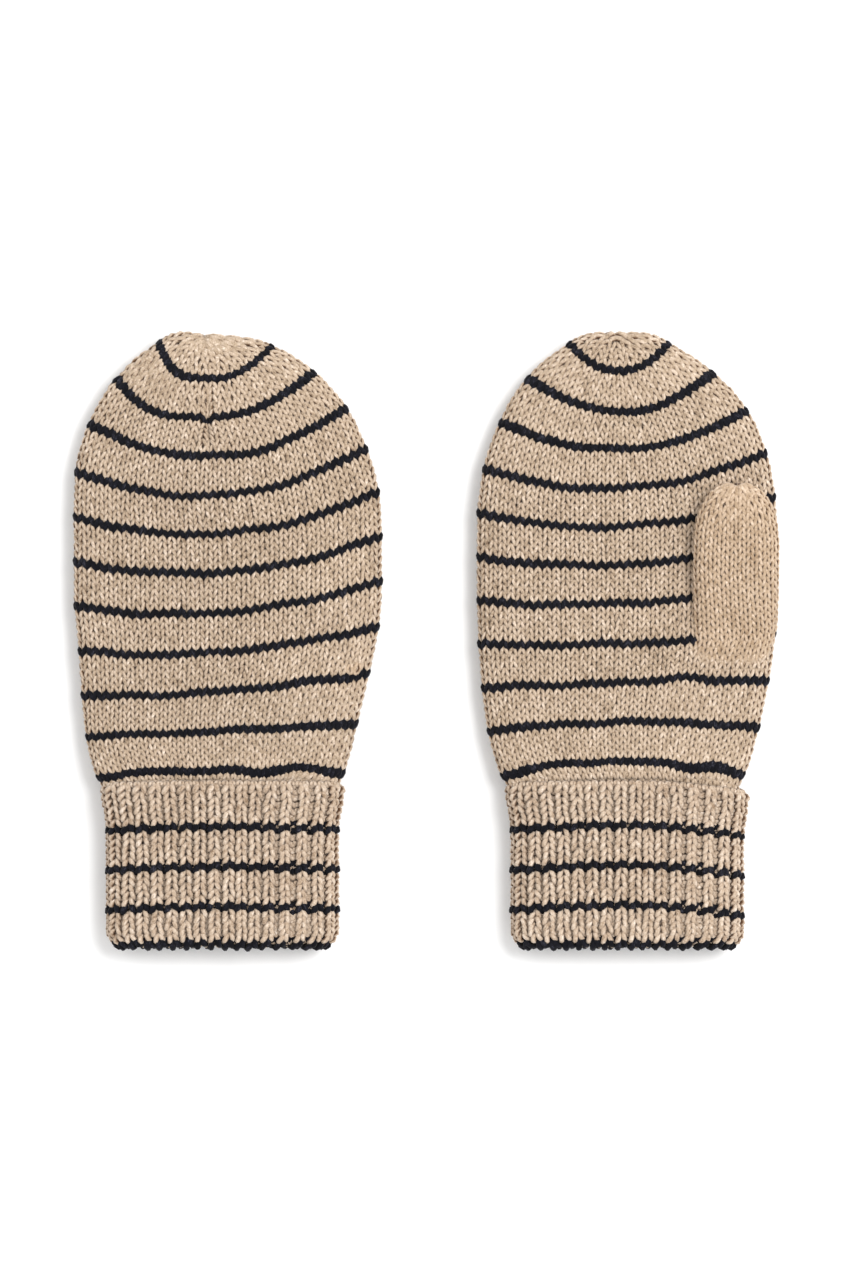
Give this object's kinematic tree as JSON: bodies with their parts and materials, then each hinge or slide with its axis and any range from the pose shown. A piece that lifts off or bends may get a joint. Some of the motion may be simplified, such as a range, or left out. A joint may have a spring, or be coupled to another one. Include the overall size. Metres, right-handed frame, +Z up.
{
  "type": "pair of knitted mittens",
  "caption": "Pair of striped knitted mittens with turned-up ribbed cuffs and plain thumbs, lying flat side by side.",
  "frame": {"origin": "centre of the pair's footprint, at the height of the surface that it lies on", "axes": "+X across the pair from the left-hand mitten to the right-hand one, +Y to the finger tips, +Z up"},
  "size_m": [0.1841, 0.1616, 0.0188],
  "materials": {
    "hand_knit": "heathered beige wool-blend stockinette, matt",
    "cuff_rib": "heathered beige one-by-one rib, matt",
    "thumb_knit": "heathered beige fine stockinette, matt",
    "stripe_yarn": "dark navy yarn, matt"
  },
  "bodies": {
    "left_mitten": {"left_hand": "hand_knit", "left_hand_stripes": "stripe_yarn", "left_crown_tie": "hand_knit", "left_side_seam": "hand_knit", "left_cuff_inner": "cuff_rib"},
    "left_cuff": {"left_cuff_turn_up": "cuff_rib", "left_cuff_stripes": "stripe_yarn", "left_cuff_edge": "cuff_rib"},
    "left_thumb_base": {"left_thumb_join": "thumb_knit"},
    "left_thumb": {"left_thumb": "thumb_knit", "left_thumb_tie": "thumb_knit"},
    "right_mitten": {"right_hand": "hand_knit", "right_hand_stripes": "stripe_yarn", "right_crown_tie": "hand_knit", "right_side_seam": "hand_knit", "right_cuff_inner": "cuff_rib"},
    "right_cuff": {"right_cuff_turn_up": "cuff_rib", "right_cuff_stripes": "stripe_yarn", "right_cuff_edge": "cuff_rib"},
    "right_thumb_base": {"right_thumb_join": "thumb_knit"},
    "right_thumb": {"right_thumb": "thumb_knit", "right_thumb_tie": "thumb_knit"}
  },
  "joints": [
    {"name": "mitten_apart", "type": "slide", "parent": "left_mitten", "child": "right_mitten", "axis": [1, 0, 0], "range_m": [0, 0.06]},
    {"name": "left_thumb_swing", "type": "hinge", "parent": "left_mitten", "child": "left_thumb_base", "pos_m": [-0.02545, -0.0023, 0.008], "axis": [0, 0, -1], "range_deg": [0, 60]},
    {"name": "left_thumb_lift", "type": "hinge", "parent": "left_thumb_base", "child": "left_thumb", "pos_m": [-0.02545, -0.0023, 0.008], "axis": [-1, 0, 0], "range_deg": [0, 80]},
    {"name": "left_cuff_turn_down", "type": "slide", "parent": "left_mitten", "child": "left_cuff", "axis": [0, -1, 0], "range_m": [0, 0.038]},
    {"name": "right_thumb_swing", "type": "hinge", "parent": "right_mitten", "child": "right_thumb_base", "pos_m": [0.08015, -0.0023, 0.0108], "axis": [0, 0, -1], "range_deg": [0, 60]},
    {"name": "right_thumb_lift", "type": "hinge", "parent": "right_thumb_base", "child": "right_thumb", "pos_m": [0.08015, -0.0023, 0.0108], "axis": [1, 0, 0], "range_deg": [0, 80]},
    {"name": "right_cuff_turn_down", "type": "slide", "parent": "right_mitten", "child": "right_cuff", "axis": [0, -1, 0], "range_m": [0, 0.038]}
  ]
}
